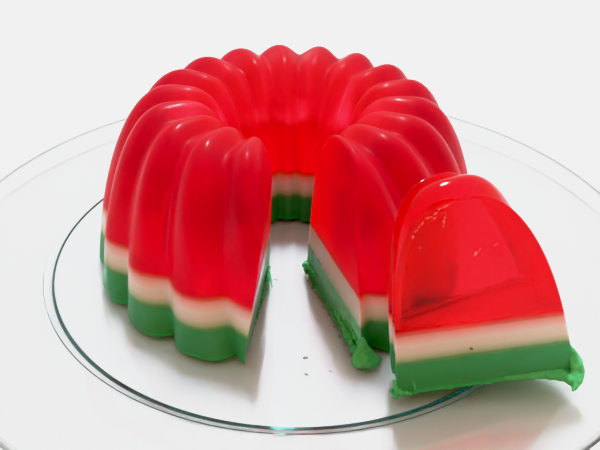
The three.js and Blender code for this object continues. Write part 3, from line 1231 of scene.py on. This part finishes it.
@dataclass
class Leavings:
    """What the knife left behind: shreds on the cuts' feet, crumbs, and marks on the slice's face."""

    ring: JellyRing
    slice: JellySlice

    def on_ring(self, cut: Cut, r: float, z: float, out: float) -> Vector:
        """A point near one of the ring's cuts, in the whole's frame."""
        return Vector(self.ring.stand) + self._beside(cut, r, z, out)

    def on_slice(self, cut: Cut, r: float, z: float, out: float) -> Vector:
        """A point near one of the slice's cuts, in the whole's frame."""
        return self.slice.placement() @ self._beside(cut, r, z, out)

    @staticmethod
    def _beside(cut: Cut, r: float, z: float, out: float) -> Vector:
        """A point at a radius and height, moved sideways from the cut."""
        a = math.radians(cut.angle)
        aside = float(cut.aside(np.array(r), np.array(z))) + out
        return Vector((r * math.cos(a) - aside * math.sin(a), r * math.sin(a) + aside * math.cos(a), z))

    @staticmethod
    def _lay(shreds: Shreds, spot: Callable[[Cut, float, float, float], Vector], cut: Cut, side: int,
             *lines: tuple[Stop, ...]) -> None:
        """Adds paths beside a cut.

        Args:
            shreds: what gets the paths.
            spot: finds a point near a cut of the ring or of the slice.
            cut: the cut.
            side: 1 or -1, the side of the cut on which distances count.
            lines: stops of each path: radius, height, distance from the cut and blob size, in mm.
        """
        for line in lines:
            shreds.add([(spot(cut, r, z, side * out), size) for r, z, out, size in line])

    def ring_shreds(self) -> Shreds:
        """Torn green along the foot of both of the ring's cuts."""
        shreds = Shreds("ring_shreds", seed=7)
        self._lay(
            shreds, self.on_ring, self.ring.right_cut, -1,
            ((20.5, 2.0, 0.2, 1.1), (23, 3.6, 0.5, 1.2), (27, 5.6, 0.6, 1.2), (32, 5.4, 0.5, 1.1),
             (37, 6.6, 0.2, 0.8)),
            ((21, 0.6, 0.4, 0.9), (34, 0.5, 0.5, 0.7), (48, 0.5, 0.4, 0.6), (62, 0.6, 0.5, 0.8),
             (78, 0.6, 0.6, 1.0), (90, 0.8, 0.6, 1.4)),
            ((58, 3.6, 0.1, 0.6), (66, 4.6, 0.5, 1.0), (74, 4.2, 0.9, 1.2), (82, 3.8, 1.1, 1.3),
             (89, 3.0, 0.9, 1.5), (93, 2.2, 0.6, 1.7)),
            ((73, 7.8, 0, 0.6), (78, 8.4, 0.2, 0.8), (83, 8.0, 0.3, 0.8), (87, 6.4, 0.3, 1.0)),
            ((90, 0.3, 1.6, 0.7), (94.5, 0.3, 1.0, 0.9), (96, 0.3, -1.0, 0.8)))
        self._lay(
            shreds, self.on_ring, self.ring.left_cut, 1,
            ((24, 3.0, 0, 0.8), (29, 4.4, 0.4, 1.0), (35, 3.0, 0.7, 1.0), (40, 1.2, 0.6, 0.8)),
            ((28, 0.5, 1.4, 0.55), (33, 0.4, 2.6, 0.5), (36, 0.4, 3.8, 0.35)),
            ((38, 0.5, 0.4, 0.7), (50, 0.5, 0.3, 0.5), (64, 0.5, 0.3, 0.45)))
        return shreds

    def slice_shreds(self) -> Shreds:
        """Torn green at the foot of the slice."""
        shreds = Shreds("slice_shreds", seed=11, floor=5.02)
        self._lay(
            shreds, self.on_slice, self.slice.near_cut, -1,
            ((21.0, 7.0, 0, 0.6), (21.6, 4.4, 0.2, 0.8), (22.0, 2.0, 0.5, 1.1), (24.5, 0.6, 0.6, 1.1),
             (29, 0.4, 0.3, 0.7)),
            ((28.0, 7.4, 0, 0.45), (28.6, 4.6, 0.1, 0.55), (28.6, 2.0, 0.2, 0.6)),
            ((21.5, 0.3, 0.3, 1.1), (20.4, 0, -1.6, 1.0), (20.4, 0.2, -4.0, 0.8)),
            ((34, 0.2, 0.1, 0.4), (50, 0.2, 0.1, 0.4), (66, 0.2, 0.1, 0.45), (80, 0.3, 0.1, 0.6)),
            ((84, 0.8, 0.1, 0.7), (88, 0.8, 0.3, 1.1), (91, 0.2, 0.2, 1.4), (92.6, -0.2, -0.6, 1.3)))
        self._lay(shreds, self.on_slice, self.slice.far_cut, -1,
                  ((90, 0.4, -1.4, 0.8), (92.4, 0.5, -0.6, 1.0)))
        return shreds

    def flaps(self) -> Shreds:
        """Smooth tongues of green squeezed out at the outer feet of two cuts."""
        flaps = Shreds("green_flaps", spacing=0.4, spread=0.1, roughen=0.5, ragged=6.0, seed=2, smooth=26)
        top_r, top_out = 89.2, 0.3
        foot = ((92.2, 1.5, -3.9, 1.7), (94.0, 1.5, -2.0, 1.8), (95.1, 1.5, 0.4, 1.9), (95.3, 1.5, 2.8, 1.9),
                (94.8, 1.5, 5.4, 1.8), (93.2, 1.6, 8.0, 1.5))
        tongue = [((top_r, 10.6, top_out, 1.0), ((top_r + r) / 2 + 0.3, 5.4, (top_out + out) / 2, 1.6),
                   (r, z, out, 1.8)) for r, z, out, _ in foot[:-1]]
        self._lay(flaps, self.on_ring, self.ring.right_cut, 1, *tongue, foot)
        self._lay(
            flaps, self.on_slice, self.slice.near_cut, 1,
            ((89.4, 13.0, 1.0, 1.0), (91.3, 9.0, 0.8, 1.4), (93.0, 4.4, 0.3, 1.7), (94.2, 0.4, -1.2, 1.7),
             (91.4, -2.4, -4.4, 1.5), (88.6, -3.6, -7.2, 1.0)),
            ((89.4, 11.0, 3.0, 1.1), (92.0, 7.0, 3.4, 1.6), (94.0, 3.0, 3.2, 1.8), (94.4, 0.6, 1.4, 1.8)),
            ((90.4, 7.0, 0.2, 1.4), (91.6, 2.4, -0.8, 1.7), (90.6, -0.8, -3.0, 1.8), (88.0, -1.4, -4.2, 1.6)),
            ((92.6, 1.6, 3.0, 1.6), (93.0, 1.0, 0.6, 1.8), (92.4, -0.6, -2.0, 1.8), (90.0, -2.0, -4.6, 1.6)),
            ((64, 0.5, 0.3, 0.9), (70, 0.4, 0.2, 1.1), (78, 0.2, -0.1, 1.4), (84, -0.2, -1.0, 1.7),
             (88.4, -0.6, -2.2, 2.1)),
            ((64, 1.2, 0.8, 1.2), (76, 1.0, 0.5, 1.5), (88, 0.8, 0, 1.8)))
        return flaps

    def crumbs(self) -> Shreds:
        """Loose crumbs on the plate, each a short path."""
        shreds = Shreds("plate_crumbs", spacing=0.5, spread=0.6, voxel=0.16, roughen=0.4, ragged=0.8,
                        floor=5.03, seed=3)
        for x, y, reach, size in (
                (3.8, -77.9, 0.9, 0.6), (4.3, -88.2, 0.6, 0.5), (-9.6, -23.6, 0.8, 0.6),
                (-15.4, -31.4, 0.5, 0.5), (-12.6, -27.2, 0.4, 0.4), (1.4, -31.0, 0.3, 0.3),
                (14.0, -86.0, 0.8, 0.5), (-6.0, -58.0, 0.3, 0.25), (-2.0, -71.0, 0.25, 0.25)):
            shreds.add([(Vector((x, y, 5.3)), size), (Vector((x + reach, y - 0.5 * reach, 5.35)), size)])
        for r, out, size in (
                (31, 2.2, 0.5), (36, 2.0, 0.6), (41, 2.3, 0.5), (45, 1.9, 0.6), (52, 2.2, 0.4),
                (57, 2.0, 0.5), (66, 2.6, 0.6), (73, 2.8, 0.7), (79, 3.0, 0.6), (85, 3.0, 0.8)):
            start = self.on_ring(self.ring.right_cut, r, 0.05, -out)
            shreds.add([(start, size), (start + Vector((0.5, -0.8, 0.05)), size)])
        return shreds

    def scars(self) -> Shreds:
        """Ragged raised lines and bubbles on the slice's cut face."""
        shreds = Shreds("slice_scars", spacing=0.35, spread=1.1, voxel=0.14, roughen=0.3, ragged=0.7,
                        floor=0.0, seed=9)
        lines = (((32.2, 67.1, 0.3), (34.6, 70.8, 0.34), (37.3, 73.6, 0.3), (40.3, 75.5, 0.36),
                  (42.9, 77.1, 0.34), (45.5, 78.3, 0.3), (47.6, 78.9, 0.26)),
                 ((37.5, 72.0, 0.22), (40.8, 73.9, 0.26), (44.0, 75.6, 0.22)),
                 ((44.8, 76.0, 0.26), (44.2, 72.4, 0.3), (43.6, 69.0, 0.26)),
                 ((34.6, 62.6, 0.4), (35.0, 62.8, 0.3)), ((54.4, 56.8, 0.42), (55.4, 57.6, 0.5)),
                 ((56.2, 58.9, 0.4), (56.6, 59.3, 0.3)), ((62.0, 60.0, 0.3), (62.6, 60.6, 0.3)))
        sunk = -0.05
        self._lay(shreds, self.on_slice, self.slice.near_cut, 1,
                  *(tuple((r, z, sunk, size) for r, z, size in line) for line in lines))
        return shreds

    def speck(self) -> Shreds:
        """A brown speck in the slice's white layer."""
        shreds = Shreds("brown_speck", spacing=0.3, spread=0.5, voxel=0.14, roughen=0.2, floor=0.0)
        self._lay(shreds, self.on_slice, self.slice.near_cut, 1,
                  ((51.4, 17.2, -0.05, 0.45), (51.9, 16.6, -0.05, 0.45)))
        return shreds

    def build(self) -> list[bpy.types.Object]:
        """Makes all of them, each kind as one piece."""
        torn = Bit.TORN.value.build()
        return [self.ring_shreds().build(torn, "green_jelly"),
                self.slice_shreds().build(torn, "green_jelly"),
                self.flaps().build(Bit.SQUEEZED.value.build(), "green_jelly"),
                self.crumbs().build(Bit.CRUMB.value.build(), "green_jelly"),
                self.scars().build(Bit.SCAR.value.build(), "red_jelly"),
                self.speck().build(Bit.SPECK.value.build(), "white_jelly")]


# ---- studio ------------------------------------------------------------------------------------


@dataclass
class Studio:
    """Table, lights and camera."""

    target: tuple[float, float, float] = (1.8, -25.1, 36.8)   # what the camera looks at, in mm
    distance: float = 388.98
    pitch: float = 32.829
    yaw: float = 0.376
    roll: float = 0.665
    lens: float = 52.14
    sky: float = 0.88
    sky_front: Colour = (0.88, 0.44, 0.07)
    sky_back: Colour = (1.0, 1.0, 1.0)
    sky_rise: tuple[float, float] = (0.9, 0.4)   # how it brightens backwards and upwards
    sky_turn: float = 0.5     # over which part of that the colour turns, to both sides
    window_watts: float = 70.0
    window_size: tuple[float, float] = (0.14, 0.6)
    window_colour: Colour = (0.92, 1.0, 1.1)
    window_at: tuple[float, float, float] = (0.07, 1.06, 2.27)
    floor_half: float = 40.0  # half the table's width, in m
    floor_drop: float = 0.15  # how far it lies below the plate, in mm
    black: float = 0.013      # lights that show as black and as the brightest grey
    white: float = 2.1
    response: tuple[tuple[float, float], ...] = (
        (0.1, 0.088), (0.3, 0.3), (0.5, 0.53), (0.7, 0.71), (0.85, 0.79), (1.0, 0.83),
        (1.3, 0.86), (1.6, 0.88), (2.1, 0.9))
    tracing: dict[str, Any] = field(default_factory=lambda: {
        "use_denoising": True, "max_bounces": 40, "transmission_bounces": 20, "glossy_bounces": 24,
        "diffuse_bounces": 6, "transparent_max_bounces": 16, "caustics_refractive": True,
        "caustics_reflective": False, "blur_glossy": 0.3, "sample_clamp_indirect": 0.0})

    def camera(self) -> None:
        """Sets up the camera."""
        pitch, yaw, roll = (math.radians(a) for a in (self.pitch, self.yaw, self.roll))
        forward = Vector((math.sin(yaw) * math.cos(pitch), math.cos(yaw) * math.cos(pitch), -math.sin(pitch)))
        right = forward.cross(Vector((0, 0, 1))).normalized()
        up = right.cross(forward)
        side = right * math.cos(roll) + up * math.sin(roll)
        top = up * math.cos(roll) - right * math.sin(roll)
        eye = (Vector(self.target) - forward * self.distance) * MM
        data = bpy.data.cameras.new("camera")
        data.sensor_width, data.lens = 36, self.lens
        data.clip_start, data.clip_end = 0.01, 100
        camera = placed("camera", data)
        camera.matrix_world = Matrix((
            (side.x, top.x, -forward.x, eye.x), (side.y, top.y, -forward.y, eye.y),
            (side.z, top.z, -forward.z, eye.z), (0, 0, 0, 1)))
        bpy.context.scene.camera = camera

    def window(self) -> None:
        """Adds the long soft window, from above and behind."""
        data = bpy.data.lights.new("window", "AREA")
        data.shape, data.energy, data.color = "RECTANGLE", self.window_watts, self.window_colour
        data.size, data.size_y = self.window_size
        lamp = placed("window", data)
        lamp.location = self.window_at
        towards = Vector(self.target) * MM - Vector(self.window_at)
        lamp.rotation_euler = towards.to_track_quat("-Z", "Y").to_euler()

    def film(self) -> None:
        """Gives the picture a camera's response: deep blacks and a soft shoulder."""
        view = bpy.context.scene.view_settings
        view.view_transform, view.look = "Standard", "None"
        view.use_curve_mapping = True
        mapping = view.curve_mapping
        mapping.black_level = (self.black,) * 3
        mapping.white_level = (self.white,) * 3
        curve = mapping.curves[3]
        for light, shown in self.response[:-1]:
            curve.points.new((light - self.black) / (self.white - self.black), shown)
        curve.points[len(curve.points) - 1].location = (1.0, self.response[-1][1])
        mapping.update()

    def table(self) -> None:
        """Lays the table top under the plate."""
        mesh = bpy.data.meshes.new("table_top")
        half, z = self.floor_half, -self.floor_drop * MM
        mesh.from_pydata([(-half, -half, z), (half, -half, z), (half, half, z), (-half, half, z)], [],
                         [(0, 1, 2, 3)])
        mesh.materials.append(TableFinish().build())
        table = placed("table_top", mesh)

    def world(self) -> None:
        """Sets the sky: plain above and behind, warmer and darker low in front."""
        world = bpy.data.worlds.new("sky")
        world.use_nodes = True
        world.node_tree.nodes.clear()
        graph = Graph(world.node_tree)
        way = graph.node("ShaderNodeSeparateXYZ", None, {
            0: graph.node("ShaderNodeTexCoord").outputs["Generated"]}).outputs
        back, up = (Value(graph, way[axis]) * rise for axis, rise in zip((1, 2), self.sky_rise))
        bright = (back + up).ramp(-self.sky_turn, self.sky_turn)
        background = graph.node("ShaderNodeBackground", None, {
            "Color": graph.blend(bright, self.sky_front, self.sky_back), "Strength": self.sky})
        graph.node("ShaderNodeOutputWorld", None, {"Surface": background.outputs[0]})
        bpy.context.scene.world = world

    def build(self) -> None:
        """Makes table, lights, world and camera."""
        self.table()
        self.world()
        self.window()
        self.camera()
        self.film()
        for name, value in self.tracing.items():
            setattr(bpy.context.scene.cycles, name, value)


def main() -> None:
    """Builds the scene piece by piece."""
    logging.basicConfig(level=logging.INFO, format="%(message)s")
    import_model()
    Studio().build()
    mould = Mould()
    jelly = {Layer.GREEN: GreenFinish().build(), Layer.WHITE: WhiteFinish().build()}
    ring, wedge = JellyRing(mould), JellySlice(mould)
    pieces = [GlassPlate().build(GlassFinish().build())]
    pieces += ring.build({**jelly, Layer.RED: Red.THICK.value.build()})
    pieces += wedge.build({**jelly, Layer.RED: Red.THIN.value.build()})
    pieces += Leavings(ring, wedge).build()
    for piece in pieces:
        LOG.info("%s: %d faces", piece.name, len(piece.data.polygons))


if __name__ == "__main__":
    main()
